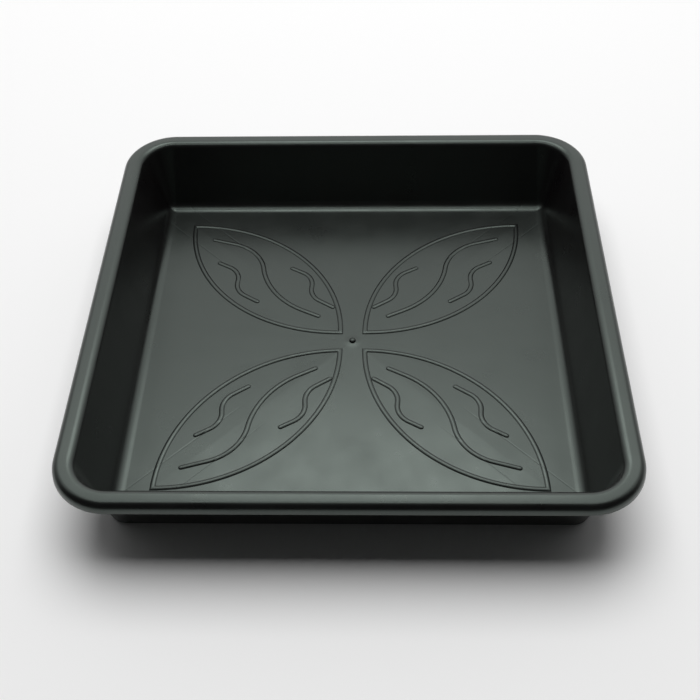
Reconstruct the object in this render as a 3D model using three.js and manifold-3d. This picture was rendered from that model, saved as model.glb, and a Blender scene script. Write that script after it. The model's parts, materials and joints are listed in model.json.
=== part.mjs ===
// A square plant saucer, moulded in one piece: a shallow tray with sloping walls, a rolled rim whose
// skirt turns down, a floor that rises a little to its middle, and a raised relief of four leaves.
// Millimetres, +Z up. The origin is on the ground below the middle of the saucer.
import * as THREE from 'three';
import Module from 'manifold-3d';

// Tray
const OVERALL_WIDTH = 400; // flat to flat, across the skirt's lower edge
const BASIN_DEPTH = 60.08; // edge of the floor up to the mouth
const WALL = 3; // thickness of the walls, the rim and the skirt
const WALL_DRAFT = 15.78; // degrees that the walls lean outwards
const FLOOR = 2.7; // thickness of the floor
const FLOOR_RISE = 3; // rise of the floor's middle above its edge
const FLOOR_FILLET = 9.2; // inside radius where the floor meets the walls
const FOOT_HEIGHT = 0.8; // the floor's edge stands this far off the ground
const FOOT_WIDTH = 7; // flat ring under the walls, which carries the saucer
const BASE_EDGE_RADIUS = 2.5; // outside edge between the walls and the foot
const FOOT_EDGE_RADIUS = 0.5; // inside edges of the foot

// Rim
const RIM_WIDTH = 13.9; // mouth to the rim's outer edge
const RIM_FALL = 3; // degrees that the rim falls outwards
const MOUTH_EDGE_RADIUS = 6; // where the wall turns into the rim
const RIM_EDGE_RADIUS = 6; // where the rim turns into the skirt
const SKIRT_DEPTH = 7.85;
const SKIRT_FLARE = 6.1; // degrees that the skirt leans outwards
const SKIRT_EDGE_RADIUS = 0.8;
const UNDER_RIM_FILLET = 1; // least radius inside the channel under the rim

// Corner radii in plan
const BASE_CORNER_RADIUS = 14; // outside, at the ground
const FLOOR_CORNER_RADIUS = 5; // inside, where the walls meet the floor
const MOUTH_CORNER_RADIUS = 27.5; // where the walls meet the rim
const RIM_CORNER_RADIUS = 41.6; // rim's outer edge
const SKIRT_CORNER_RADIUS = 42; // skirt's lower edge
const LEAST_CORNER_RADIUS = 1;
const MOST_ROUNDING = 0.99; // share of a line that the roundings at its two ends may take together

// Leaf relief
const LEAF_MARGIN = 18.9; // outer tip of a leaf to the edge of the floor
const LEAF_GAP = 19.8; // between the inner tips of neighbouring leaves
const BEAD_WIDTH = 4.2;
const BEAD_HEIGHT = 0.95;
const BEAD_EDGE = 0.15; // upright edge of a bead, below its round top
const BEAD_ROOT = 0.6; // how deep a bead's foot is sunk in the floor
const BEAD_END_TURN = 60; // degrees of its round end that a bead reaches before it is closed

// Gate mark in the middle of the floor: a nub on a low foot that flares out into the floor
const GATE_FOOT_DIAMETER = 18;
const GATE_FOOT_HEIGHT = 1.3; // where the flare would reach the axis
const NUB_DIAMETER = 5.4;
const NUB_HEIGHT = 2.2;
const NUB_BEVEL = 1.3;

// Veins, drawn on the square between a leaf's inner tip (0, 0) and its outer tip (1, 1). A vein is a
// line with two bends, each with its radius. The two short veins are alike and start at two places.
const LONG_VEIN = {
  points: [[0.129, 0.135], [0.472, 0.316], [0.541, 0.766], [0.874, 0.867]],
  radii: [0, 80, 45, 0],
};
const SHORT_VEIN = {
  points: [[-0.009, -0.012], [0.15, 0.096], [0.133, 0.273], [0.287, 0.363]],
  radii: [0, 17, 17, 0],
};
const SHORT_VEIN_STARTS = [[0.051, 0.225], [0.529, 0.281]];

// Steps along curves
const CORNER_STEPS = 8;
const EDGE_STEPS = 2;
const FILLET_STEPS = 5;
const LEAF_ARC_STEPS = 16;
const VEIN_BEND_STEPS = 6;
const BEAD_TOP_STEPS = 4;
const BEAD_END_STEPS = 1;
const GATE_SIDES = 16;
const GATE_FOOT_STEPS = 3;

// Sizes worked out from the ones above
const draft = THREE.MathUtils.degToRad(WALL_DRAFT);
const flare = THREE.MathUtils.degToRad(SKIRT_FLARE);
const floorZ = FOOT_HEIGHT + FLOOR;
const mouthZ = floorZ + BASIN_DEPTH;
const rimZ = mouthZ - RIM_WIDTH * Math.tan(THREE.MathUtils.degToRad(RIM_FALL));
const skirtZ = rimZ - SKIRT_DEPTH;
const skirtHalf = OVERALL_WIDTH / 2;
const rimHalf = skirtHalf - SKIRT_DEPTH * Math.tan(flare);
const mouthHalf = rimHalf - RIM_WIDTH;
const floorHalf = mouthHalf - BASIN_DEPTH * Math.tan(draft);
const floorEdgeHalf = floorHalf - FLOOR_FILLET * Math.tan((Math.PI / 2 - draft) / 2);
const baseHalf = floorHalf - floorZ * Math.tan(draft) + WALL / Math.cos(draft);
const floorTopZ = floorZ + FLOOR_RISE;
const leafInner = LEAF_GAP / 2;
const leafOuter = floorEdgeHalf - LEAF_MARGIN;

const UP = new THREE.Vector3(0, 0, 1);
const wasm = await Module();
wasm.setup();

function lerp(a, b, t) {
  return a + (b - a) * t;
}

// A corner of the wall's section: half-width, height, the place of the corner's centre in plan, and the
// radius that rounds it in the section.
function corner(half, height, centre, radius = 0, steps = EDGE_STEPS) {
  return { half, height, centre, radius, steps };
}

function between(a, b, t) {
  return corner(lerp(a.half, b.half, t), lerp(a.height, b.height, t), lerp(a.centre, b.centre, t));
}

function span(a, b) {
  return Math.hypot(b.half - a.half, b.height - a.height);
}

// Where two neighbouring lines of the section meet, once each is moved towards its right by the wall.
function offsetCorner(before, at, after) {
  const lines = [[before, at], [at, after]].map(([a, b]) => {
    const nx = (b.height - a.height) / span(a, b);
    const nz = -(b.half - a.half) / span(a, b);
    return { nx, nz, d: nx * at.half + nz * at.height + WALL };
  });
  const [p, q] = lines;
  const det = p.nx * q.nz - q.nx * p.nz;
  const half = (p.d * q.nz - q.d * p.nz) / det;
  const height = (p.nx * q.d - q.nx * p.d) / det;
  return corner(half, height, at.centre, Math.max(at.radius - WALL, UNDER_RIM_FILLET));
}

function heading(a, b) {
  return Math.atan2(b.height - a.height, b.half - a.half);
}

function turnBetween(a, b) {
  return Math.atan2(Math.sin(b - a), Math.cos(b - a));
}

// The points of a line of corners, once its inner corners are rounded.
function roundCorners(corners) {
  const inner = corners.slice(1, -1);
  const turns = inner.map((at, i) => turnBetween(heading(corners[i], at), heading(at, corners[i + 2])));
  const wanted = [0, ...inner.map((at, i) => at.radius * Math.tan(Math.abs(turns[i]) / 2)), 0];
  const room = (i) => (MOST_ROUNDING * span(corners[i], corners[i + 1])) / (wanted[i] + wanted[i + 1]);
  return inner.flatMap((at, i) => {
    const before = corners[i];
    const after = corners[i + 2];
    const reach = wanted[i + 1] * Math.min(1, room(i), room(i + 1));
    const radius = reach / Math.tan(turns[i] / 2);
    const from = between(at, before, reach / span(at, before));
    const to = between(at, after, reach / span(at, after));
    const start = heading(before, at);
    return Array.from({ length: at.steps + 1 }, (_, k) => {
      const a = start + (turns[i] * k) / at.steps;
      const half = from.half + radius * (Math.sin(a) - Math.sin(start));
      const height = from.height - radius * (Math.cos(a) - Math.cos(start));
      return corner(half, height, lerp(from.centre, to.centre, k / at.steps));
    });
  });
}

// A square ring with round corners, counter-clockwise from above.
function squareRing({ half, height, centre }) {
  const radius = Math.max(half - centre, LEAST_CORNER_RADIUS);
  const ring = [];
  for (let quarter = 0; quarter < 4; quarter += 1) {
    const turn = (quarter * Math.PI) / 2;
    for (let k = 0; k <= CORNER_STEPS; k += 1) {
      const a = (k / CORNER_STEPS) * (Math.PI / 2);
      const x = half - radius + radius * Math.cos(a);
      const y = half - radius + radius * Math.sin(a);
      ring.push(new THREE.Vector3(x, y, height).applyAxisAngle(UP, turn));
    }
  }
  return ring;
}

// A closed solid through rings of equal length, from a start point to an end point.
function loft(start, rings, end) {
  const count = rings[0].length;
  const points = [start, ...rings.flat(), end];
  const last = points.length - 1;
  const index = [];
  for (let i = 0; i < count; i += 1) {
    const next = (i + 1) % count;
    index.push(0, 1 + i, 1 + next);
    for (let r = 0; r < rings.length - 1; r += 1) {
      const a = 1 + r * count;
      const b = a + count;
      index.push(a + i, b + i, b + next);
      index.push(a + i, b + next, a + next);
    }
    const a = last - count;
    index.push(a + i, last, a + next);
  }
  const geometry = new THREE.BufferGeometry().setFromPoints(points);
  geometry.setIndex(index);
  return geometry;
}

function solid(geometry) {
  const vertProperties = new Float32Array(geometry.getAttribute('position').array);
  const triVerts = new Uint32Array(geometry.getIndex().array);
  return new wasm.Manifold(new wasm.Mesh({ numProp: 3, vertProperties, triVerts }));
}

function geometryOf(body) {
  const mesh = body.getMesh();
  const geometry = new THREE.BufferGeometry();
  geometry.setAttribute('position', new THREE.BufferAttribute(mesh.vertProperties, 3));
  geometry.setIndex(new THREE.BufferAttribute(mesh.triVerts, 1));
  geometry.computeVertexNormals();
  return geometry;
}

// The tray: floor, wall, rim and skirt on the upper side, and the same lines a wall's thickness below.
function tray() {
  const baseCentre = baseHalf - BASE_CORNER_RADIUS;
  const floorCentre = floorHalf - FLOOR_CORNER_RADIUS;
  const mouthCentre = mouthHalf - MOUTH_CORNER_RADIUS;
  const rimCentre = rimHalf - RIM_CORNER_RADIUS;
  const skirtCentre = skirtHalf - SKIRT_CORNER_RADIUS;
  const footHalf = baseHalf - FOOT_WIDTH;
  const floor = corner(floorHalf, floorZ, floorCentre, FLOOR_FILLET, FILLET_STEPS);
  const mouth = corner(mouthHalf, mouthZ, mouthCentre, MOUTH_EDGE_RADIUS, FILLET_STEPS);
  const rim = corner(rimHalf, rimZ, rimCentre, RIM_EDGE_RADIUS, FILLET_STEPS);
  const skirt = corner(skirtHalf, skirtZ, skirtCentre, SKIRT_EDGE_RADIUS);
  const skirtInside = skirtHalf - WALL / Math.cos(flare);
  const section = [
    corner(0, floorZ, floorCentre),
    floor,
    mouth,
    rim,
    skirt,
    corner(skirtInside, skirtZ, skirtCentre, SKIRT_EDGE_RADIUS),
    offsetCorner(mouth, rim, skirt),
    offsetCorner(floor, mouth, rim),
    corner(baseHalf, 0, baseCentre, BASE_EDGE_RADIUS),
    corner(footHalf, 0, floorCentre, FOOT_EDGE_RADIUS),
    corner(footHalf - FOOT_HEIGHT * Math.tan(draft), FOOT_HEIGHT, floorCentre, FOOT_EDGE_RADIUS),
    corner(0, FOOT_HEIGHT, floorCentre),
  ];
  const rings = roundCorners(section).map(squareRing);
  return loft(new THREE.Vector3(0, 0, floorTopZ), rings, new THREE.Vector3(0, 0, FOOT_HEIGHT + FLOOR_RISE));
}

// The floor is a very low pyramid, with its hips on the diagonals.
function floorHeight(x, y) {
  return floorZ + FLOOR_RISE * (1 - Math.max(Math.abs(x), Math.abs(y)) / floorEdgeHalf);
}

// Points along the arc that leaves a point at a heading and reaches another point.
function arc(from, heading, to, steps) {
  const chord = to.clone().sub(from);
  const bend = Math.atan2(chord.y, chord.x) - heading;
  const half = Math.atan2(Math.sin(bend), Math.cos(bend));
  const radius = chord.length() / (2 * Math.sin(half));
  return Array.from({ length: steps + 1 }, (_, k) => {
    const a = heading + (2 * half * k) / steps;
    const x = from.x + radius * (Math.sin(a) - Math.sin(heading));
    const y = from.y - radius * (Math.cos(a) - Math.cos(heading));
    return new THREE.Vector2(x, y);
  });
}

function leafPoint([u, v]) {
  return new THREE.Vector2(lerp(leafInner, leafOuter, u), lerp(leafInner, leafOuter, v));
}

// A bead's round end reaches half its width past the end of its path, so the path stops short.
function veinPath({ points, radii }, [du, dv] = [0, 0]) {
  const corners = points.map(([u, v], i) => {
    const { x, y } = leafPoint([u + du, v + dv]);
    return corner(x, y, 0, radii[i], VEIN_BEND_STEPS);
  });
  const inset = (end, next) => between(end, next, BEAD_WIDTH / 2 / span(end, next));
  const [a, b, c, d] = corners;
  const path = [inset(a, b), ...roundCorners(corners), inset(d, c)];
  return path.map(({ half, height }) => new THREE.Vector2(half, height));
}

// One leaf's beads: an outline of two quarter circles, a long vein and two short ones.
function leafPaths() {
  const inner = leafPoint([0, 0]);
  const outer = leafPoint([1, 1]);
  return [
    arc(inner, 0, outer, LEAF_ARC_STEPS),
    arc(inner, Math.PI / 2, outer, LEAF_ARC_STEPS),
    veinPath(LONG_VEIN),
    ...SHORT_VEIN_STARTS.map((start) => veinPath(SHORT_VEIN, start)),
  ];
}

// A bead with a round top and round ends, laid along a path on the floor.
function bead(path) {
  const stations = path.map((point, i) => {
    const ahead = path[Math.min(i + 1, path.length - 1)];
    const behind = path[Math.max(i - 1, 0)];
    return { point, direction: ahead.clone().sub(behind).normalize(), size: 1 };
  });
  const first = stations[0];
  const final = stations[stations.length - 1];
  for (let k = 1; k <= BEAD_END_STEPS; k += 1) {
    const a = THREE.MathUtils.degToRad((BEAD_END_TURN * k) / BEAD_END_STEPS);
    const beyond = (BEAD_WIDTH / 2) * Math.sin(a);
    const size = Math.cos(a);
    const before = first.point.clone().addScaledVector(first.direction, -beyond);
    const after = final.point.clone().addScaledVector(final.direction, beyond);
    stations.unshift({ ...first, point: before, size });
    stations.push({ ...final, point: after, size });
  }
  const rings = stations.map(({ point, direction, size }) => {
    const ground = floorHeight(point.x, point.y);
    const place = (across, up) => {
      const x = point.x + direction.y * across;
      const y = point.y - direction.x * across;
      return new THREE.Vector3(x, y, ground + up);
    };
    const half = (BEAD_WIDTH / 2) * size;
    const ring = [place(half, -BEAD_ROOT)];
    for (let k = 0; k <= BEAD_TOP_STEPS; k += 1) {
      const a = (k / BEAD_TOP_STEPS) * Math.PI;
      ring.push(place(half * Math.cos(a), size * lerp(BEAD_EDGE, BEAD_HEIGHT, Math.sin(a))));
    }
    ring.push(place(-half, -BEAD_ROOT));
    return ring;
  });
  const middle = (ring) => ring[0].clone().lerp(ring[ring.length - 1], 0.5);
  return loft(middle(rings[0]), rings, middle(rings[rings.length - 1]));
}

function circle(radius, height) {
  return Array.from({ length: GATE_SIDES }, (_, k) => {
    const a = (k / GATE_SIDES) * 2 * Math.PI;
    return new THREE.Vector3(radius * Math.cos(a), radius * Math.sin(a), height);
  });
}

// The mark that the moulding gate leaves: a nub on a low foot.
function gateMark() {
  const footRadius = GATE_FOOT_DIAMETER / 2;
  const nubRadius = NUB_DIAMETER / 2;
  const edge = floorHeight(footRadius, 0);
  const footTop = (r) => edge + GATE_FOOT_HEIGHT * (1 - r / footRadius) ** 2;
  const top = footTop(nubRadius) + NUB_HEIGHT;
  const rings = [circle(nubRadius - NUB_BEVEL, top), circle(nubRadius, top - NUB_BEVEL)];
  for (let k = 0; k <= GATE_FOOT_STEPS; k += 1) {
    const r = lerp(nubRadius, footRadius, k / GATE_FOOT_STEPS);
    rings.push(circle(r, footTop(r)));
  }
  rings.push(circle(footRadius, edge - BEAD_ROOT));
  return loft(new THREE.Vector3(0, 0, top), rings, new THREE.Vector3(0, 0, edge - BEAD_ROOT));
}

// The saucer is the tray with its relief, as one body.
function saucer() {
  let body = solid(tray()).add(solid(gateMark()));
  for (const [sx, sy] of [[1, 1], [-1, 1], [-1, -1], [1, -1]]) {
    for (const path of leafPaths()) {
      const mirrored = path.map(({ x, y }) => new THREE.Vector2(sx * x, sy * y));
      body = body.add(solid(bead(mirrored)));
    }
  }
  return geometryOf(body);
}

const polypropylene = new THREE.MeshStandardMaterial({ color: 0x141716, roughness: 0.45, metalness: 0 });

const group = new THREE.Group();
const mesh = new THREE.Mesh(saucer(), polypropylene);
mesh.name = 'saucer';
group.add(mesh);

export default group;
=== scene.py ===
"""A square plant saucer of moulded black polypropylene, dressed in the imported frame."""
import json
import math

import bpy
from mathutils import Matrix, Vector

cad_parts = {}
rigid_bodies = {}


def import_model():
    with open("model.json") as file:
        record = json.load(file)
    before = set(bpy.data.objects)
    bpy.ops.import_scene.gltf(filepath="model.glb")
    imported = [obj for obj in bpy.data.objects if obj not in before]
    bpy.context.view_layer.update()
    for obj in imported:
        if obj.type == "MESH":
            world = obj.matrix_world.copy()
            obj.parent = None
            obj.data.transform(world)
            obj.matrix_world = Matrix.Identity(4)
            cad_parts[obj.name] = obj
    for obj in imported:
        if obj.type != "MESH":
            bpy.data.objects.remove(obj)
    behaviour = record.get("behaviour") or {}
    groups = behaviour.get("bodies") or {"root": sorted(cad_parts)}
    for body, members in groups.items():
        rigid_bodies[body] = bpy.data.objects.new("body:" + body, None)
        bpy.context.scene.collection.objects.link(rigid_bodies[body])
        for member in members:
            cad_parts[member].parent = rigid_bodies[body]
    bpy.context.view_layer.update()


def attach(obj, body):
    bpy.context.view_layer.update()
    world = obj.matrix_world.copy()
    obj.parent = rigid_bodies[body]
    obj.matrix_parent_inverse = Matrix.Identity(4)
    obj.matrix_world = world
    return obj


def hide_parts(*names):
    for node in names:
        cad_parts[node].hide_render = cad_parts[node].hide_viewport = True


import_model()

bl_info = {
    "name": "Square Plant Saucer",
    "version": (1, 0, 0),
    "blender": (4, 5, 0),
    "location": "3D View > Sidebar > Saucer",
    "description": "Makes a square plant saucer with a leaf relief, and a plain stage for it",
    "category": "Add Mesh",
}

MM = 0.001
PLASTIC = "moulded_polypropylene"
MATH = "ShaderNodeMath"


def length(name, description, millimetres):
    """A length property whose default is given in millimetres."""
    return bpy.props.FloatProperty(
        name=name, description=description, default=millimetres * MM, min=0.0, precision=5,
        subtype="DISTANCE", unit="LENGTH")


def angle(name, description, degrees):
    """An angle property whose default is given in degrees."""
    return bpy.props.FloatProperty(
        name=name, description=description, default=math.radians(degrees),
        subtype="ANGLE", unit="ROTATION")


def linear(hex_colour):
    """Turn an sRGB hex colour into linear red, green, blue and alpha."""
    channels = [int(hex_colour[i:i + 2], 16) / 255 for i in (1, 3, 5)]
    return [c / 12.92 if c <= 0.04045 else ((c + 0.055) / 1.055) ** 2.4 for c in channels] + [1.0]


class SaucerTraySizes(bpy.types.PropertyGroup):
    """Sizes of the tray: floor, walls, rim and skirt."""

    width: length("Width", "Flat to flat across the skirt's lower edge", 399.95)
    basin_depth: length("Basin Depth", "Edge of the floor up to the mouth", 60.05)
    wall: length("Wall", "Thickness of the walls, the rim and the skirt", 3.0)
    wall_draft: angle("Wall Draft", "Lean of the walls", 15.78)
    floor: length("Floor", "Thickness of the floor", 2.7)
    floor_rise: length("Floor Rise", "Rise of the floor's middle above its edge", 3.0)
    floor_fillet: length("Floor Fillet", "Inside radius where the floor meets the walls", 9.2)
    foot_height: length("Foot Height", "Height of the floor's edge off the ground", 0.8)
    foot_width: length("Foot Width", "Flat ring under the walls", 7.0)
    base_edge: length("Base Edge", "Radius of the outside edge at the ground", 2.5)
    foot_edge: length("Foot Edge", "Radius of the foot's inside edges", 0.5)
    rim_width: length("Rim Width", "Mouth to the rim's outer edge", 13.9)
    rim_fall: angle("Rim Fall", "Fall of the rim outwards", 3.0)
    mouth_edge: length("Mouth Edge", "Radius where the wall turns into the rim", 6.0)
    rim_edge: length("Rim Edge", "Radius where the rim turns into the skirt", 6.0)
    skirt_depth: length("Skirt Depth", "Rim down to the skirt's lower edge", 7.85)
    skirt_flare: angle("Skirt Flare", "Lean of the skirt", 6.1)
    skirt_edge: length("Skirt Edge", "Radius of the skirt's lower edge", 0.8)
    under_rim: length("Under Rim", "Least radius in the channel under the rim", 1.0)
    base_corner: length("Base Corner", "Corner radius in plan at the ground", 14.0)
    floor_corner: length("Floor Corner", "Corner radius in plan where the walls meet the floor", 5.0)
    mouth_corner: length("Mouth Corner", "Corner radius in plan where the walls meet the rim", 27.5)
    rim_corner: length("Rim Corner", "Corner radius in plan of the rim's outer edge", 41.6)
    skirt_corner: length("Skirt Corner", "Corner radius in plan of the skirt's lower edge", 42.0)
    crease: length("Crease", "Radius in plan of the floor's diagonal creases", 1.0)


class SaucerReliefSizes(bpy.types.PropertyGroup):
    """Sizes of the leaf relief and the gate mark on the floor."""

    margin: length("Leaf Margin", "Outer tip of a leaf to the edge of the floor", 18.9)
    gap: length("Leaf Gap", "Between the inner tips of neighbouring leaves", 19.8)
    bead_width: length("Bead Width", "Width of a bead where it meets the floor", 4.2)
    bead_height: length("Bead Height", "How far a bead stands off the floor", 0.95)
    gate_width: length("Gate Foot Width", "Diameter of the low foot in the middle", 18.0)
    gate_height: length("Gate Foot Height", "Height at which the foot's flare would reach the axis", 1.3)
    nub_width: length("Gate Nub Width", "Diameter of the nub on the foot", 5.4)
    nub_height: length("Gate Nub Height", "Height of the nub on the foot", 2.2)


class SaucerFinish(bpy.types.PropertyGroup):
    """Colours of the saucer and of its stage."""

    plastic: bpy.props.FloatVectorProperty(
        name="Plastic", description="Body colour of the moulded polypropylene", subtype="COLOR", size=4,
        min=0.0, max=1.0, default=linear("#080607"))
    bloom: bpy.props.FloatVectorProperty(
        name="Bloom", description="Body colour where the plastic cooled duller", subtype="COLOR", size=4,
        min=0.0, max=1.0, default=linear("#120E10"))
    dust: bpy.props.FloatVectorProperty(
        name="Dust", description="Colour of the few specks of dust", subtype="COLOR", size=4,
        min=0.0, max=1.0, default=linear("#4A4D4B"))
    gloss: bpy.props.FloatVectorProperty(
        name="Gloss", description="Tint of the light that the surface reflects", subtype="COLOR", size=4,
        min=0.0, max=1.0, default=(0.84, 1.0, 0.91, 1.0))
    ground: bpy.props.FloatVectorProperty(
        name="Ground", description="Colour of the ground under the saucer", subtype="COLOR", size=4,
        min=0.0, max=1.0, default=linear("#F2F2F2"))


# Leaf veins on the square between a leaf's inner tip (0, 0) and its outer tip (1, 1). A vein is a line
# of four points, whose two bends are rounded by radii in millimetres. The two short veins are alike.
LONG_VEIN = ((0.129, 0.135), (0.472, 0.316), (0.541, 0.766), (0.874, 0.867)), (80.0, 45.0)
SHORT_VEIN = ((-0.009, -0.012), (0.15, 0.096), (0.133, 0.273), (0.287, 0.363)), (17.0, 17.0)
SHORT_VEIN_STARTS = (0.051, 0.225), (0.529, 0.281)

# Steps along curves: round the tray and along its section, along the relief, and on the gate mark
TRAY_CORNER_STEPS = 24
TRAY_SIDE_STEPS = 24
FLOOR_STEPS = 24
BASE_STEPS = 8
LEAF_STEPS = 96
VEIN_STEPS = 40
BEAD_STEPS = 15
BEAD_END_TURNS = range(0, 91, 10)  # degrees round the end of a bead
GATE_CORNER_STEPS = 16
GATE_FOOT_STEPS = 16
NUB_STEPS = 8

MOST_ROUNDING = 0.99  # share of a line that the roundings at its two ends may take together
GATE_ROOT = 0.3  # depth of the gate mark's root, as a share of the floor's thickness
CREASE_ANGLE = math.radians(30)  # edges that bend more stay sharp
WELD = 0.001 * MM  # points closer than this become one
SLIVER = 0.01 * MM  # faces narrower than this are closed up after the union

# Finish of the plastic, with its widths, lengths and heights in millimetres
CLOUD_WIDTH, CLOUD_HEIGHT = 30.0, 0.12
STREAKS_PER_RADIAN, STREAK_LENGTH, STREAK_HEIGHT = 9.0, 150.0, 0.06
LINE_PITCH, LINE_LENGTH, LINE_HEIGHT = 2.4, 60.0, 0.008
FLOOR_FADE = 7.0, 10.0  # heights between which the milling lines and the sink marks end
GRAIN_WIDTH, GRAIN_HEIGHT = 1.1, 0.004
DUST_CELL, DUST_CORE, DUST_EDGE = 40.0, 0.2, 0.5  # width of a cell, and radii of the speck in it
DUST_CHANCE = 0.25  # share of the cells that have a speck
BLUSH_CORE, BLUSH_EDGE = 6.0, 14.0  # radii of the duller ring round the gate
SINK_ASIDE, SINK_WIDTH, SINK_DEPTH = 18.0, 1.2, 0.07
SINK_FADE = 80.0, 100.0  # distances from the middle between which the sink marks begin
CLOUD_RANGE = 0.25, 0.75  # the part of the clouds' noise that changes the roughness
SMOOTHEST, ROUGHEST = 0.22, 0.32  # roughness at its two ends
STREAK_ROUGHNESS, BLUSH_ROUGHNESS = 0.08, 0.05

# Lamps: name, place and size in metres, and radiance
SAUCER_LAMPS = (
    ("ceiling", (0.0, 0.775, 0.77), (2.2, 1.75), 0.57),
    ("softbox", (0.0, 0.34, 0.76), (1.5, 0.32), 1.05),
    ("softbox_core", (0.0, 0.33, 0.75), (0.5, 0.26), 2.6),
    ("front_fill", (0.0, -0.07, 0.76), (0.9, 0.16), 1.9),
)
GROUND_LAMP = ("ground_lamp", (0.0, 1.2, 3.0), (3.0, 3.0), 3.9)
GROUND_HALF = 6.0

# Room round the saucer: its light in front of the saucer, behind it, and as the camera sees it
ROOM_FRONT, ROOM_BACK, ROOM_SEEN = 0.03, 0.86, 0.7
ROOM_TURN = -0.1, 0.95  # how far back a ray points where the light begins to rise, and where it stops

# Camera: its aim and distance in metres, its lens and sensor in millimetres, its angles in degrees
CAMERA_AIM, CAMERA_DISTANCE = (-0.001962, -0.006852, 0.0035), 0.88963
CAMERA_LENS, CAMERA_SENSOR = 57.075, 36.0
CAMERA_ELEVATION, CAMERA_YAW, CAMERA_ROLL = 47.5079, 2.3106, -1.7227


def add(tree, kind, inputs=None, **settings):
    """Add a node, give it its settings, and set or link its inputs by name or number."""
    node = tree.nodes.new(kind)
    for name, value in settings.items():
        setattr(node, name, value)
    for key, value in (inputs or {}).items():
        if isinstance(value, bpy.types.NodeSocket):
            tree.links.new(value, node.inputs[key])
        elif isinstance(value, list) and isinstance(value[0], bpy.types.NodeSocket):
            for source in value:
                tree.links.new(source, node.inputs[key])
        else:
            node.inputs[key].default_value = value
    return node


def new_tree(name, sockets):
    """A geometry node tree with named inputs after its geometry, and its group input node."""
    tree = bpy.data.node_groups.new(name, "GeometryNodeTree")
    tree.interface.new_socket("Geometry", in_out="OUTPUT", socket_type="NodeSocketGeometry")
    tree.interface.new_socket("Geometry", in_out="INPUT", socket_type="NodeSocketGeometry")
    for label, kind in sockets:
        tree.interface.new_socket(label, in_out="INPUT", socket_type=kind)
    return tree, add(tree, "NodeGroupInput").outputs


def close_tree(tree, geometry, material):
    """End a tree in real faces that carry the material."""
    real = add(tree, "GeometryNodeRealizeInstances", {"Geometry": geometry})
    dressed = add(tree, "GeometryNodeSetMaterial", {"Geometry": real.outputs[0], "Material": material})
    add(tree, "NodeGroupOutput", {0: dressed.outputs[0]})


def apply_tree(obj, tree, values):
    """Run a tree on an object, and keep the result as its plain mesh."""
    modifier = obj.modifiers.new(tree.name, "NODES")
    modifier.node_group = tree
    for item in tree.interface.items_tree:
        if item.in_out == "INPUT" and item.name in values:
            modifier[item.identifier] = values[item.name]
    depsgraph = bpy.context.evaluated_depsgraph_get()
    mesh = bpy.data.meshes.new_from_object(obj.evaluated_get(depsgraph), depsgraph=depsgraph)
    obj.modifiers.clear()
    obj.data = mesh
    mesh.name = obj.name
    if not mesh.polygons:
        raise RuntimeError("%s came out with no faces" % obj.name)


def line_object(name, paths, attributes=None):
    """An object of bare edges along paths, each given as its points and whether it closes."""
    points, edges = [], []
    for path, closed in paths:
        first = len(points)
        points += path
        edges += [(i, i + 1) for i in range(first, len(points) - 1)]
        if closed:
            edges.append((len(points) - 1, first))
    mesh = bpy.data.meshes.new(name)
    mesh.from_pydata(points, edges, [])
    for key, values in (attributes or {}).items():
        mesh.attributes.new(key, "FLOAT", "POINT").data.foreach_set("value", values)
    obj = bpy.data.objects.new(name, mesh)
    bpy.context.scene.collection.objects.link(obj)
    return obj


# A point of a section: half-width, place of the plan corner's centre, height.
def between(a, b, t):
    """The section point part of the way from one to another."""
    return tuple(p + (q - p) * t for p, q in zip(a, b))


def span(a, b):
    """Distance between two section points."""
    return math.hypot(b[0] - a[0], b[2] - a[2])


def rounded(corners):
    """The points of a line whose corners, each with a radius and a number of steps, are rounded off."""
    points = [point for point, _, _ in corners]
    headings = [math.atan2(b[2] - a[2], b[0] - a[0]) for a, b in zip(points, points[1:])]
    turns = [math.remainder(b - a, math.tau) for a, b in zip(headings, headings[1:])]
    wanted = [0.0] + [r * math.tan(abs(t) / 2) for t, (_, r, _) in zip(turns, corners[1:])] + [0.0]
    rooms = [
        MOST_ROUNDING * span(points[i], points[i + 1]) / (wanted[i] + wanted[i + 1])
        for i in range(len(headings))]
    out = []
    for i, turn in enumerate(turns, 1):
        before, at, after = points[i - 1:i + 2]
        reach = wanted[i] * min(1.0, rooms[i - 1], rooms[i])
        radius = reach / math.tan(turn / 2)
        start = between(at, before, reach / span(at, before))
        end = between(at, after, reach / span(at, after))
        steps = corners[i][2]
        for k in range(steps + 1):
            a = headings[i - 1] + turn * k / steps
            out.append((start[0] + radius * (math.sin(a) - math.sin(headings[i - 1])),
                        start[1] + (end[1] - start[1]) * k / steps,
                        start[2] - radius * (math.cos(a) - math.cos(headings[i - 1]))))
    return out


def offset(before, at, after, wall):
    """Where two neighbouring lines of a section meet, once each is moved to its right by the wall."""
    lines = []
    for a, b in ((before, at), (at, after)):
        nx, nz = (b[2] - a[2]) / span(a, b), -(b[0] - a[0]) / span(a, b)
        lines.append((nx, nz, nx * at[0] + nz * at[2] + wall))
    (px, pz, pd), (qx, qz, qd) = lines
    det = px * qz - qx * pz
    return (pd * qz - qd * pz) / det, at[1], (px * qd - qx * pd) / det


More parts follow.
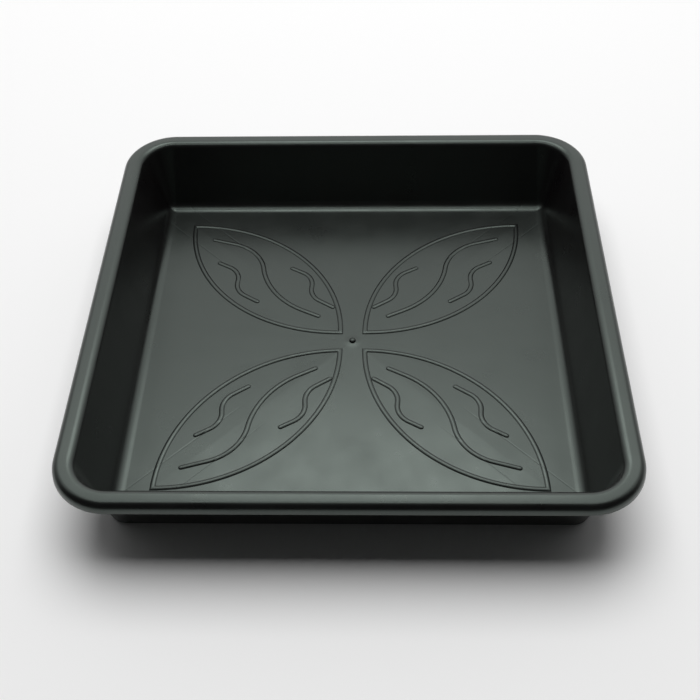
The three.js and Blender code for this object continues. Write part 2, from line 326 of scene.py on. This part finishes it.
def levels(tray):
    """The tray's main half-widths and heights, worked out from its sizes."""
    lean = math.tan(tray.wall_draft)
    floor_z = tray.foot_height + tray.floor
    mouth_z = floor_z + tray.basin_depth
    rim_z = mouth_z - tray.rim_width * math.tan(tray.rim_fall)
    skirt = tray.width / 2
    rim = skirt - tray.skirt_depth * math.tan(tray.skirt_flare)
    mouth = rim - tray.rim_width
    floor = mouth - tray.basin_depth * lean
    floor_edge = floor - tray.floor_fillet * math.tan((math.pi / 2 - tray.wall_draft) / 2)
    base = floor - floor_z * lean + tray.wall / math.cos(tray.wall_draft)
    return {
        "floor_z": floor_z, "mouth_z": mouth_z, "rim_z": rim_z, "skirt": skirt, "rim": rim,
        "mouth": mouth, "floor": floor, "floor_edge": floor_edge, "base": base}


def tray_section(tray):
    """Section of the tray from the middle of its floor, over the rim, to the middle of its underside."""
    at = levels(tray)
    lean = math.tan(tray.wall_draft)
    floor_centre = at["floor"] - tray.floor_corner
    skirt_z = at["rim_z"] - tray.skirt_depth
    skirt_centre = at["skirt"] - tray.skirt_corner
    floor = (at["floor"], floor_centre, at["floor_z"])
    mouth = (at["mouth"], at["mouth"] - tray.mouth_corner, at["mouth_z"])
    rim = (at["rim"], at["rim"] - tray.rim_corner, at["rim_z"])
    skirt = (at["skirt"], skirt_centre, skirt_z)
    inside = (at["skirt"] - tray.wall / math.cos(tray.skirt_flare), skirt_centre, skirt_z)
    foot = at["base"] - tray.foot_width

    def under(radius):
        return max(radius - tray.wall, tray.under_rim)

    # Each corner of the section, the radius that rounds it, and the steps round it.
    corners = [
        ((0.0, floor_centre, at["floor_z"]), 0, 1),
        (floor, tray.floor_fillet, 16),
        (mouth, tray.mouth_edge, 10),
        (rim, tray.rim_edge, 16),
        (skirt, tray.skirt_edge, 8),
        (inside, tray.skirt_edge, 8),
        (offset(mouth, rim, skirt, tray.wall), under(tray.rim_edge), 8),
        (offset(floor, mouth, rim, tray.wall), under(tray.mouth_edge), 4),
        ((at["base"], at["base"] - tray.base_corner, 0.0), tray.base_edge, 8),
        ((foot, floor_centre, 0.0), tray.foot_edge, 4),
        ((foot - tray.foot_height * lean, floor_centre, tray.foot_height), tray.foot_edge, 4),
        ((0.0, floor_centre, tray.foot_height), 0, 1),
    ]
    shell = rounded(corners)
    upper, lower = [], []
    for k in range(FLOOR_STEPS):
        t = k / FLOOR_STEPS
        half = at["floor_edge"] * t
        upper.append((half, half - tray.crease, at["floor_z"] + tray.floor_rise * (1 - t)))
    for k in range(1, BASE_STEPS + 1):
        t = 1 - k / BASE_STEPS
        half = shell[-1][0] * t
        lower.append((half, half - tray.crease, tray.foot_height + tray.floor_rise * (1 - t)))
    return upper + shell + lower


def ring_loft():
    """Tree that carries a section round a square with round corners, or round a circle."""
    tree, given = new_tree("Ring Loft", [
        ("Corner Steps", "NodeSocketInt"), ("Side Steps", "NodeSocketInt"),
        ("Least Corner", "NodeSocketFloat"), ("Material", "NodeSocketMaterial")])
    count = add(tree, "GeometryNodeAttributeDomainSize", {0: given["Geometry"]}).outputs[0]
    quarter = add(tree, MATH, {0: given["Corner Steps"], 1: given["Side Steps"]}, operation="ADD")
    around = add(tree, MATH, {0: quarter.outputs[0], 1: 4.0}, operation="MULTIPLY").outputs[0]
    rows = add(tree, MATH, {0: count, 1: 1.0}, operation="SUBTRACT").outputs[0]
    columns = add(tree, MATH, {0: around, 1: 1.0}, operation="ADD").outputs[0]
    grid = add(tree, "GeometryNodeMeshGrid", {
        "Size X": around, "Size Y": rows, "Vertices X": columns, "Vertices Y": count}).outputs[0]
    position = add(tree, "GeometryNodeInputPosition").outputs[0]
    place = add(tree, "ShaderNodeSeparateXYZ", {0: position}).outputs
    step = add(tree, MATH, {0: around, 1: 0.5, 2: place[0]}, operation="MULTIPLY_ADD").outputs[0]
    step = add(tree, MATH, {0: step}, operation="ROUND").outputs[0]
    row = add(tree, MATH, {0: rows, 1: 0.5, 2: place[1]}, operation="MULTIPLY_ADD").outputs[0]
    row = add(tree, MATH, {0: row}, operation="ROUND").outputs[0]
    sample = add(tree, "GeometryNodeSampleIndex", {
        "Geometry": given["Geometry"], "Value": position, "Index": row}, data_type="FLOAT_VECTOR")
    half, centre, height = add(tree, "ShaderNodeSeparateXYZ", {0: sample.outputs[0]}).outputs
    radius = add(tree, MATH, {0: half, 1: centre}, operation="SUBTRACT").outputs[0]
    radius = add(tree, MATH, {0: radius, 1: given["Least Corner"]}, operation="MAXIMUM").outputs[0]
    radius = add(tree, MATH, {0: radius, 1: half}, operation="MINIMUM").outputs[0]
    centre = add(tree, MATH, {0: half, 1: radius}, operation="SUBTRACT").outputs[0]
    side = add(tree, MATH, {0: step, 1: quarter.outputs[0]}, operation="DIVIDE").outputs[0]
    side = add(tree, MATH, {0: side}, operation="FLOOR").outputs[0]
    along = add(tree, MATH, {0: step, 1: quarter.outputs[0]}, operation="FLOORED_MODULO").outputs[0]
    share = add(tree, MATH, {0: along, 1: given["Corner Steps"]}, operation="DIVIDE", use_clamp=True)
    bend = add(tree, MATH, {0: share.outputs[0], 1: math.pi / 2}, operation="MULTIPLY").outputs[0]
    past = add(tree, MATH, {0: along, 1: given["Corner Steps"]}, operation="SUBTRACT").outputs[0]
    past = add(tree, MATH, {0: past, 1: given["Side Steps"]}, operation="DIVIDE", use_clamp=True)
    past = add(tree, MATH, {0: past.outputs[0], 1: -2.0, 2: 1.0}, operation="MULTIPLY_ADD").outputs[0]
    run = add(tree, MATH, {0: centre, 1: past}, operation="MULTIPLY").outputs[0]
    cosine = add(tree, MATH, {0: bend}, operation="COSINE").outputs[0]
    sine = add(tree, MATH, {0: bend}, operation="SINE").outputs[0]
    x = add(tree, MATH, {0: radius, 1: cosine, 2: run}, operation="MULTIPLY_ADD").outputs[0]
    y = add(tree, MATH, {0: radius, 1: sine, 2: centre}, operation="MULTIPLY_ADD").outputs[0]
    point = add(tree, "ShaderNodeCombineXYZ", {0: x, 1: y, 2: height}).outputs[0]
    turn = add(tree, MATH, {0: side, 1: math.pi / 2}, operation="MULTIPLY").outputs[0]
    point = add(tree, "ShaderNodeVectorRotate", {
        "Vector": point, "Angle": turn}, rotation_type="Z_AXIS").outputs[0]
    moved = add(tree, "GeometryNodeSetPosition", {"Geometry": grid, "Position": point}).outputs[0]
    joined = add(tree, "GeometryNodeMergeByDistance", {"Geometry": moved, "Distance": WELD}).outputs[0]
    close_tree(tree, joined, given["Material"])
    return tree


def arc(start, heading, end, steps):
    """Points along the arc that leaves a point at a heading and reaches another point."""
    dx, dy = end[0] - start[0], end[1] - start[1]
    bend = math.atan2(dy, dx) - heading
    bend = math.atan2(math.sin(bend), math.cos(bend))
    radius = math.hypot(dx, dy) / (2 * math.sin(bend))
    out = []
    for k in range(steps + 1):
        a = heading + 2 * bend * k / steps
        out.append((start[0] + radius * (math.sin(a) - math.sin(heading)),
                    start[1] - radius * (math.cos(a) - math.cos(heading)), 0.0))
    return out


def leaf_paths(tray, relief):
    """One leaf: its outline of two quarter circles, closed at both tips, and three open veins."""
    inner = relief.gap / 2
    reach = levels(tray)["floor_edge"] - relief.margin - inner

    def spot(u, v):
        return inner + reach * u, inner + reach * v

    def vein(points, radii, shift=(0.0, 0.0)):
        a, b, c, d = ((x, 0.0, y) for x, y in (spot(u + shift[0], v + shift[1]) for u, v in points))
        bends = rounded([
            (a, 0, 1), (b, radii[0] * MM, VEIN_STEPS), (c, radii[1] * MM, VEIN_STEPS), (d, 0, 1)])
        half = relief.bead_width / 2
        ends = [half * (1 - math.cos(math.radians(turn))) for turn in BEAD_END_TURNS]
        first = [between(a, b, inset / span(a, b)) for inset in ends]
        last = [between(d, c, inset / span(c, d)) for inset in ends[::-1]]
        return [(x, y, 0.0) for x, _, y in first + bends + last]

    near = arc(spot(0, 0), 0.0, spot(1, 1), LEAF_STEPS)
    far = arc(spot(0, 0), math.pi / 2, spot(1, 1), LEAF_STEPS)[::-1]
    outline = near[:-1] + far[:-1]
    mitres = [1.0] * len(outline)
    mitres[0] = mitres[LEAF_STEPS] = math.sqrt(2)
    veins = [vein(*LONG_VEIN)] + [vein(*SHORT_VEIN, start) for start in SHORT_VEIN_STARTS]
    for path in veins:
        mitres += [1.0] * len(path)
    return [(outline, True)] + [(path, False) for path in veins], mitres


def bead_sweep():
    """Tree that lays a round-topped bead along each line of a leaf, for all four leaves."""
    tree, given = new_tree("Bead Sweep", [
        ("Bead Half", "NodeSocketFloat"), ("Bead Radius", "NodeSocketFloat"),
        ("Bead Height", "NodeSocketFloat"), ("Floor Height", "NodeSocketFloat"),
        ("Floor Rise", "NodeSocketFloat"), ("Floor Half", "NodeSocketFloat"),
        ("Profile Steps", "NodeSocketInt"), ("Material", "NodeSocketMaterial")])
    lines = add(tree, "GeometryNodeMeshToCurve", {"Mesh": given["Geometry"]}).outputs[0]
    leaves = [
        add(tree, "GeometryNodeTransform", {"Geometry": lines, "Scale": (sx, sy, 1.0)}).outputs[0]
        for sx, sy in ((1, 1), (-1, 1), (-1, -1), (1, -1))]
    lines = add(tree, "GeometryNodeJoinGeometry", {0: leaves}).outputs[0]
    lines = add(tree, "GeometryNodeSetCurveNormal", {"Curve": lines}, mode="Z_UP").outputs[0]
    # An open line's bead rounds off over half its width; a closed one keeps its full size.
    along = add(tree, "GeometryNodeSplineParameter").outputs["Length"]
    whole = add(tree, "GeometryNodeSplineLength").outputs["Length"]
    left = add(tree, MATH, {0: whole, 1: along}, operation="SUBTRACT").outputs[0]
    near = add(tree, MATH, {0: along, 1: left}, operation="MINIMUM").outputs[0]
    near = add(tree, MATH, {0: near, 1: given["Bead Half"]}, operation="DIVIDE", use_clamp=True)
    short = add(tree, MATH, {0: 1.0, 1: near.outputs[0]}, operation="SUBTRACT").outputs[0]
    square = add(tree, MATH, {0: short, 1: short}, operation="MULTIPLY").outputs[0]
    rest = add(tree, MATH, {0: 1.0, 1: square}, operation="SUBTRACT").outputs[0]
    taper = add(tree, MATH, {0: rest}, operation="SQRT").outputs[0]
    closed = add(tree, "GeometryNodeInputSplineCyclic").outputs[0]
    taper = add(tree, MATH, {0: taper, 1: closed}, operation="MAXIMUM").outputs[0]
    lines = add(tree, "GeometryNodeStoreNamedAttribute", {
        "Geometry": lines, "Name": "taper", "Value": taper}, domain="POINT").outputs[0]
    mitre = add(tree, "GeometryNodeInputNamedAttribute", {"Name": "mitre"}).outputs[0]
    size = add(tree, MATH, {0: taper, 1: mitre}, operation="MULTIPLY").outputs[0]
    # The bead is a round bar, sunk until only its height stands proud.
    bar = add(tree, "GeometryNodeCurveArc", {
        "Resolution": given["Profile Steps"], "Radius": given["Bead Radius"],
        "Sweep Angle": math.pi}).outputs[0]
    bar = add(tree, "GeometryNodeSetSplineCyclic", {"Geometry": bar, "Cyclic": True}).outputs[0]
    sink = add(tree, MATH, {0: given["Bead Height"], 1: given["Bead Radius"]}, operation="SUBTRACT")
    position = add(tree, "GeometryNodeInputPosition").outputs[0]
    level = add(tree, "ShaderNodeSeparateXYZ", {0: position}).outputs[1]
    level = add(tree, MATH, {0: level, 1: sink.outputs[0]}, operation="ADD").outputs[0]
    bar = add(tree, "GeometryNodeStoreNamedAttribute", {
        "Geometry": bar, "Name": "level", "Value": level}, domain="POINT").outputs[0]
    bead = add(tree, "GeometryNodeCurveToMesh", {
        "Curve": lines, "Profile Curve": bar, "Scale": size}).outputs[0]
    # The floor is a very low pyramid, so a point's floor height follows its larger plan coordinate.
    x, y, _ = add(tree, "ShaderNodeSeparateXYZ", {0: position}).outputs
    far_x = add(tree, MATH, {0: x}, operation="ABSOLUTE").outputs[0]
    far_y = add(tree, MATH, {0: y}, operation="ABSOLUTE").outputs[0]
    far = add(tree, MATH, {0: far_x, 1: far_y}, operation="MAXIMUM").outputs[0]
    share = add(tree, MATH, {0: far, 1: given["Floor Half"]}, operation="DIVIDE").outputs[0]
    share = add(tree, MATH, {0: 1.0, 1: share}, operation="SUBTRACT").outputs[0]
    floor = add(tree, MATH, {
        0: share, 1: given["Floor Rise"], 2: given["Floor Height"]}, operation="MULTIPLY_ADD").outputs[0]
    level = add(tree, "GeometryNodeInputNamedAttribute", {"Name": "level"}).outputs[0]
    taper = add(tree, "GeometryNodeInputNamedAttribute", {"Name": "taper"}).outputs[0]
    height = add(tree, MATH, {0: level, 1: taper, 2: floor}, operation="MULTIPLY_ADD").outputs[0]
    point = add(tree, "ShaderNodeCombineXYZ", {0: x, 1: y, 2: height}).outputs[0]
    laid = add(tree, "GeometryNodeSetPosition", {"Geometry": bead, "Position": point}).outputs[0]
    laid = add(tree, "GeometryNodeMergeByDistance", {"Geometry": laid, "Distance": WELD}).outputs[0]
    close_tree(tree, laid, given["Material"])
    return tree


def gate_section(tray, relief):
    """Section of the gate mark: a nub with a round top, on a low foot that flares into the floor."""
    at = levels(tray)
    foot, nub = relief.gate_width / 2, relief.nub_width / 2
    edge = at["floor_z"] + tray.floor_rise * (1 - foot / at["floor_edge"])

    def foot_top(r):
        return edge + relief.gate_height * (1 - r / foot) ** 2

    top = foot_top(nub) + relief.nub_height
    out = []
    for k in range(NUB_STEPS + 1):
        a = math.pi / 2 * k / NUB_STEPS
        out.append((nub * math.sin(a), 0.0, top - relief.nub_height * (1 - math.cos(a))))
    for k in range(1, GATE_FOOT_STEPS + 1):
        r = nub + (foot - nub) * k / GATE_FOOT_STEPS
        out.append((r, 0.0, foot_top(r)))
    root = edge - tray.floor * GATE_ROOT
    return out + [(foot, 0.0, root), (0.0, 0.0, root)]


def fuse():
    """Tree that joins the tray, the leaf relief and the gate mark into one moulding."""
    tree, given = new_tree("Fuse Moulding", [
        ("Relief", "NodeSocketObject"), ("Gate Mark", "NodeSocketObject"),
        ("Crease Angle", "NodeSocketFloat"), ("Material", "NodeSocketMaterial")])
    solids = [given["Geometry"]]
    for key in ("Relief", "Gate Mark"):
        info = add(tree, "GeometryNodeObjectInfo", {"Object": given[key]}, transform_space="ORIGINAL")
        solids.append(info.outputs["Geometry"])
    body = add(tree, "GeometryNodeMeshBoolean", {
        1: solids}, operation="UNION", solver="EXACT").outputs[0]
    body = add(tree, "GeometryNodeMergeByDistance", {"Geometry": body, "Distance": SLIVER}).outputs[0]
    body = add(tree, "GeometryNodeSetShadeSmooth", {
        "Geometry": body, "Shade Smooth": True}, domain="FACE").outputs[0]
    bend = add(tree, "GeometryNodeInputMeshEdgeAngle").outputs[0]
    crease = add(tree, "FunctionNodeCompare", {
        0: bend, 1: given["Crease Angle"]}, operation="GREATER_THAN").outputs[0]
    body = add(tree, "GeometryNodeSetShadeSmooth", {
        "Geometry": body, "Selection": crease, "Shade Smooth": False}, domain="EDGE").outputs[0]
    close_tree(tree, body, given["Material"])
    return tree


def moulded_polypropylene(finish):
    """Black polypropylene from a mould of milled steel.

    It gives the eye a satin gloss with a cool tint, cloudy where the plastic cooled unevenly, with weak
    streaks that run out from the gate, the milling lines of the mould on the floor, hairline sink marks
    beside the floor's diagonals, a fine grain and a few specks of dust.
    """
    material = bpy.data.materials.new(PLASTIC)
    material.use_nodes = True
    tree = material.node_tree
    tree.nodes.clear()
    place = add(tree, "ShaderNodeTexCoord").outputs["Object"]
    x, y, z = add(tree, "ShaderNodeSeparateXYZ", {0: place}).outputs
    flat = add(tree, "ShaderNodeCombineXYZ", {0: x, 1: y}).outputs[0]
    # Clouds.
    cloud = add(tree, "ShaderNodeTexNoise", {
        "Vector": place, "Scale": 1 / (CLOUD_WIDTH * MM), "Detail": 3.0}).outputs[0]
    # Flow streaks, which lie side by side round the gate and change slowly on their way out.
    out = add(tree, "ShaderNodeVectorMath", {0: flat}, operation="LENGTH").outputs["Value"]
    way = add(tree, "ShaderNodeVectorMath", {0: flat}, operation="NORMALIZE").outputs[0]
    way = add(tree, "ShaderNodeVectorMath", {
        0: way, "Scale": STREAKS_PER_RADIAN}, operation="SCALE").outputs[0]
    along = add(tree, MATH, {0: out, 1: 1 / (STREAK_LENGTH * MM)}, operation="MULTIPLY").outputs[0]
    lift = add(tree, "ShaderNodeCombineXYZ", {2: along}).outputs[0]
    way = add(tree, "ShaderNodeVectorMath", {0: way, 1: lift}, operation="ADD").outputs[0]
    flow = add(tree, "ShaderNodeTexNoise", {"Vector": way, "Scale": 1.0, "Detail": 3.0}).outputs[0]
    # Milling lines, square to the sides, on the floor alone.
    far_x = add(tree, MATH, {0: x}, operation="ABSOLUTE").outputs[0]
    far_y = add(tree, MATH, {0: y}, operation="ABSOLUTE").outputs[0]
    reach = add(tree, MATH, {0: far_x, 1: far_y}, operation="MAXIMUM").outputs[0]
    beside = add(tree, MATH, {0: x, 1: y}, operation="ADD").outputs[0]
    across = add(tree, MATH, {0: reach, 1: 1 / (LINE_PITCH * MM)}, operation="MULTIPLY").outputs[0]
    along = add(tree, MATH, {0: beside, 1: 1 / (LINE_LENGTH * MM)}, operation="MULTIPLY").outputs[0]
    lines = add(tree, "ShaderNodeCombineXYZ", {0: across, 1: along}).outputs[0]
    lines = add(tree, "ShaderNodeTexNoise", {"Vector": lines, "Scale": 1.0, "Detail": 1.0}).outputs[0]
    on_floor = add(tree, "ShaderNodeMapRange", {
        "Value": z, "From Min": FLOOR_FADE[0] * MM, "From Max": FLOOR_FADE[1] * MM,
        "To Min": 1.0, "To Max": 0.0}).outputs[0]
    lines = add(tree, MATH, {0: lines, 1: on_floor}, operation="MULTIPLY").outputs[0]
    # Satin grain, drawn coarse enough to show.
    grain = add(tree, "ShaderNodeTexNoise", {
        "Vector": place, "Scale": 1 / (GRAIN_WIDTH * MM), "Detail": 2.0}).outputs[0]
    # Dust, a speck in some of the cells.
    cell = add(tree, "ShaderNodeTexVoronoi", {"Vector": place, "Scale": 1 / (DUST_CELL * MM)}).outputs
    speck = add(tree, "ShaderNodeMapRange", {
        "Value": cell["Distance"], "From Min": DUST_CORE / DUST_CELL, "From Max": DUST_EDGE / DUST_CELL,
        "To Min": 1.0, "To Max": 0.0}).outputs[0]
    chance = add(tree, "ShaderNodeSeparateColor", {0: cell["Color"]}).outputs[0]
    chosen = add(tree, MATH, {0: chance, 1: DUST_CHANCE}, operation="LESS_THAN").outputs[0]
    speck = add(tree, MATH, {0: speck, 1: chosen}, operation="MULTIPLY").outputs[0]
    # The ring round the gate, which cooled last and is duller.
    blush = add(tree, "ShaderNodeMapRange", {
        "Value": out, "From Min": BLUSH_CORE * MM, "From Max": BLUSH_EDGE * MM,
        "To Min": 1.0, "To Max": 0.0}).outputs[0]
    # Two hairline sink marks, one to either side of each diagonal, on the outer part of the floor.
    astray = add(tree, MATH, {0: far_x, 1: far_y}, operation="SUBTRACT").outputs[0]
    astray = add(tree, MATH, {0: astray}, operation="ABSOLUTE").outputs[0]
    astray = add(tree, MATH, {0: astray, 1: SINK_ASIDE * MM}, operation="SUBTRACT").outputs[0]
    astray = add(tree, MATH, {0: astray}, operation="ABSOLUTE").outputs[0]
    sink = add(tree, "ShaderNodeMapRange", {
        "Value": astray, "From Min": 0.0, "From Max": SINK_WIDTH * MM, "To Min": -1.0, "To Max": 0.0},
        interpolation_type="SMOOTHSTEP").outputs[0]
    outer = add(tree, "ShaderNodeMapRange", {
        "Value": reach, "From Min": SINK_FADE[0] * MM, "From Max": SINK_FADE[1] * MM}).outputs[0]
    sink = add(tree, MATH, {0: sink, 1: outer}, operation="MULTIPLY").outputs[0]
    sink = add(tree, MATH, {0: sink, 1: on_floor}, operation="MULTIPLY").outputs[0]
    # Heights in millimetres, one above the other.
    height = add(tree, MATH, {0: cloud, 1: CLOUD_HEIGHT}, operation="MULTIPLY").outputs[0]
    height = add(tree, MATH, {0: sink, 1: SINK_DEPTH, 2: height}, operation="MULTIPLY_ADD").outputs[0]
    height = add(tree, MATH, {0: flow, 1: STREAK_HEIGHT, 2: height}, operation="MULTIPLY_ADD").outputs[0]
    height = add(tree, MATH, {0: lines, 1: LINE_HEIGHT, 2: height}, operation="MULTIPLY_ADD").outputs[0]
    height = add(tree, MATH, {0: grain, 1: GRAIN_HEIGHT, 2: height}, operation="MULTIPLY_ADD").outputs[0]
    bump = add(tree, "ShaderNodeBump", {"Height": height, "Distance": MM, "Strength": 1.0}).outputs[0]
    # Roughness from the clouds, the streaks and the gate's ring.
    rough = add(tree, "ShaderNodeMapRange", {
        "Value": cloud, "From Min": CLOUD_RANGE[0], "From Max": CLOUD_RANGE[1],
        "To Min": SMOOTHEST, "To Max": ROUGHEST}).outputs[0]
    rough = add(tree, MATH, {
        0: flow, 1: STREAK_ROUGHNESS, 2: rough}, operation="MULTIPLY_ADD").outputs[0]
    rough = add(tree, MATH, {
        0: blush, 1: BLUSH_ROUGHNESS, 2: rough}, operation="MULTIPLY_ADD").outputs[0]
    # Inputs 6 and 7 of a colour mix are its two colours.
    body = add(tree, "ShaderNodeMix", {
        "Factor": flow, 6: list(finish.plastic), 7: list(finish.bloom)}, data_type="RGBA").outputs[2]
    body = add(tree, "ShaderNodeMix", {
        "Factor": speck, 6: body, 7: list(finish.dust)}, data_type="RGBA").outputs[2]
    shader = add(tree, "ShaderNodeBsdfPrincipled", {
        "Base Color": body, "Roughness": rough, "IOR": 1.49, "Specular IOR Level": 0.8,
        "Specular Tint": list(finish.gloss), "Normal": bump})
    add(tree, "ShaderNodeOutputMaterial", {"Surface": shader.outputs[0]})
    return material


def matt_ground(finish):
    """Matt card, which gives the eye a pale, even ground with the saucer's soft shadow on it."""
    material = bpy.data.materials.new("matt_ground")
    material.use_nodes = True
    shader = material.node_tree.nodes["Principled BSDF"]
    shader.inputs["Base Color"].default_value = list(finish.ground)
    shader.inputs["Roughness"].default_value = 0.9
    return material


def add_lamp(name, place, size, radiance, lit):
    """Add an area lamp that shines straight down and lights one object alone."""
    data = bpy.data.lights.new(name, "AREA")
    data.shape = "RECTANGLE"
    data.size, data.size_y = size
    data.energy = radiance * math.pi * size[0] * size[1]
    lamp = bpy.data.objects.new(name, data)
    bpy.context.scene.collection.objects.link(lamp)
    lamp.location = place
    lamp.light_linking.receiver_collection = bpy.data.collections.new(name)
    lamp.light_linking.receiver_collection.objects.link(lit)


class SAUCER_OT_tray(bpy.types.Operator):
    """Make the tray: floor, sloping walls, rolled rim and turned-down skirt"""

    bl_idname = "saucer.make_tray"
    bl_label = "Make Tray"

    def execute(self, context):
        scene = context.scene
        material = moulded_polypropylene(scene.saucer_finish)
        tray = line_object("tray", [(tray_section(scene.saucer_tray), False)])
        apply_tree(tray, ring_loft(), {
            "Corner Steps": TRAY_CORNER_STEPS, "Side Steps": TRAY_SIDE_STEPS,
            "Least Corner": scene.saucer_tray.crease, "Material": material})
        return {"FINISHED"}


class SAUCER_OT_relief(bpy.types.Operator):
    """Make the raised beads of the four leaves on the floor"""

    bl_idname = "saucer.make_relief"
    bl_label = "Make Leaf Relief"

    def execute(self, context):
        tray, relief = context.scene.saucer_tray, context.scene.saucer_relief
        at = levels(tray)
        paths, mitres = leaf_paths(tray, relief)
        half, height = relief.bead_width / 2, relief.bead_height
        leaf = line_object("leaf_relief", paths, {"mitre": mitres})
        apply_tree(leaf, bead_sweep(), {
            "Bead Half": half, "Bead Radius": (half ** 2 + height ** 2) / (2 * height),
            "Bead Height": height, "Floor Height": at["floor_z"], "Floor Rise": tray.floor_rise,
            "Floor Half": at["floor_edge"], "Profile Steps": BEAD_STEPS,
            "Material": bpy.data.materials[PLASTIC]})
        return {"FINISHED"}


class SAUCER_OT_gate_mark(bpy.types.Operator):
    """Make the gate mark in the middle of the floor"""

    bl_idname = "saucer.make_gate_mark"
    bl_label = "Make Gate Mark"

    def execute(self, context):
        scene = context.scene
        gate = line_object("gate_mark", [(gate_section(scene.saucer_tray, scene.saucer_relief), False)])
        apply_tree(gate, bpy.data.node_groups["Ring Loft"], {
            "Corner Steps": GATE_CORNER_STEPS, "Side Steps": 1, "Least Corner": 0.0,
            "Material": bpy.data.materials[PLASTIC]})
        return {"FINISHED"}


class SAUCER_OT_fuse(bpy.types.Operator):
    """Join the tray and its relief into one moulding, which stands for the CAD saucer"""

    bl_idname = "saucer.fuse"
    bl_label = "Fuse Moulding"

    def execute(self, context):
        objects = bpy.data.objects
        body = objects["tray"]
        body.name = "saucer_moulding"
        apply_tree(body, fuse(), {
            "Relief": objects["leaf_relief"], "Gate Mark": objects["gate_mark"],
            "Crease Angle": CREASE_ANGLE, "Material": bpy.data.materials[PLASTIC]})
        for name in ("leaf_relief", "gate_mark"):
            objects.remove(objects[name])
        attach(body, "root")
        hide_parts("saucer")
        return {"FINISHED"}


class SAUCER_OT_stage(bpy.types.Operator):
    """Set the ground, the lights and the camera"""

    bl_idname = "saucer.set_stage"
    bl_label = "Set Stage"

    def execute(self, context):
        scene = context.scene
        scene.view_settings.view_transform = "Standard"
        mesh = bpy.data.meshes.new("ground")
        far = GROUND_HALF
        mesh.from_pydata(
            [(-far, -far, 0), (far, -far, 0), (far, far, 0), (-far, far, 0)], [], [(0, 1, 2, 3)])
        mesh.materials.append(matt_ground(scene.saucer_finish))
        ground = bpy.data.objects.new("ground", mesh)
        scene.collection.objects.link(ground)

        # A pale backdrop behind the saucer, and a dim room in front. The camera sees pale on every side.
        world = bpy.data.worlds.new("studio")
        scene.world = world
        world.use_nodes = True
        tree = world.node_tree
        way = add(tree, "ShaderNodeTexCoord").outputs["Generated"]
        behind = add(tree, "ShaderNodeSeparateXYZ", {0: way}).outputs[1]
        glow = add(tree, "ShaderNodeMapRange", {
            "Value": behind, "From Min": ROOM_TURN[0], "From Max": ROOM_TURN[1],
            "To Min": ROOM_FRONT, "To Max": ROOM_BACK}).outputs[0]
        seen = add(tree, "ShaderNodeLightPath").outputs["Is Camera Ray"]
        # Inputs 2 and 3 of a mix of numbers are its two numbers.
        glow = add(tree, "ShaderNodeMix", {"Factor": seen, 2: glow, 3: ROOM_SEEN}).outputs[0]
        background = tree.nodes["Background"]
        background.inputs["Color"].default_value = (1.0, 1.0, 1.0, 1.0)
        tree.links.new(glow, background.inputs["Strength"])

        for lamp in SAUCER_LAMPS:
            add_lamp(*lamp, bpy.data.objects["saucer_moulding"])
        # The ground has a lamp of its own, so that it is pale with no more light on the saucer.
        add_lamp(*GROUND_LAMP, ground)

        camera = bpy.data.objects.new("camera", bpy.data.cameras.new("camera"))
        scene.collection.objects.link(camera)
        camera.data.sensor_width = CAMERA_SENSOR
        camera.data.lens = CAMERA_LENS
        elevation, yaw, roll = map(math.radians, (CAMERA_ELEVATION, CAMERA_YAW, CAMERA_ROLL))
        level = math.cos(elevation)
        back = Vector((math.sin(yaw) * level, -math.cos(yaw) * level, math.sin(elevation)))
        right = (-back).cross(Vector((0, 0, 1))).normalized()
        up = right.cross(-back)
        cosine, sine = math.cos(roll), math.sin(roll)
        right, up = right * cosine + up * sine, up * cosine - right * sine
        turn = Matrix((right, up, back)).transposed().to_4x4()
        camera.matrix_world = Matrix.Translation(Vector(CAMERA_AIM) + back * CAMERA_DISTANCE) @ turn
        scene.camera = camera
        return {"FINISHED"}


class SAUCER_PT_panel(bpy.types.Panel):
    """Sizes, colours and steps of the plant saucer"""

    bl_idname = "SAUCER_PT_panel"
    bl_label = "Plant Saucer"
    bl_space_type = "VIEW_3D"
    bl_region_type = "UI"
    bl_category = "Saucer"

    def draw(self, context):
        for name, kind in GROUPS.items():
            box = self.layout.box()
            for key in kind.__annotations__:
                box.prop(getattr(context.scene, name), key)
        for operator in OPERATORS:
            self.layout.operator(operator.bl_idname)


GROUPS = {
    "saucer_tray": SaucerTraySizes,
    "saucer_relief": SaucerReliefSizes,
    "saucer_finish": SaucerFinish,
}
OPERATORS = (SAUCER_OT_tray, SAUCER_OT_relief, SAUCER_OT_gate_mark, SAUCER_OT_fuse, SAUCER_OT_stage)


def register():
    for key, group in GROUPS.items():
        bpy.utils.register_class(group)
        setattr(bpy.types.Scene, key, bpy.props.PointerProperty(type=group))
    for cls in OPERATORS + (SAUCER_PT_panel,):
        bpy.utils.register_class(cls)


def unregister():
    for cls in (SAUCER_PT_panel,) + OPERATORS[::-1]:
        bpy.utils.unregister_class(cls)
    for key, group in GROUPS.items():
        delattr(bpy.types.Scene, key)
        bpy.utils.unregister_class(group)


def main():
    register()
    bpy.ops.saucer.make_tray()
    bpy.ops.saucer.make_relief()
    bpy.ops.saucer.make_gate_mark()
    bpy.ops.saucer.fuse()
    bpy.ops.saucer.set_stage()


if __name__ == "__main__":
    main()
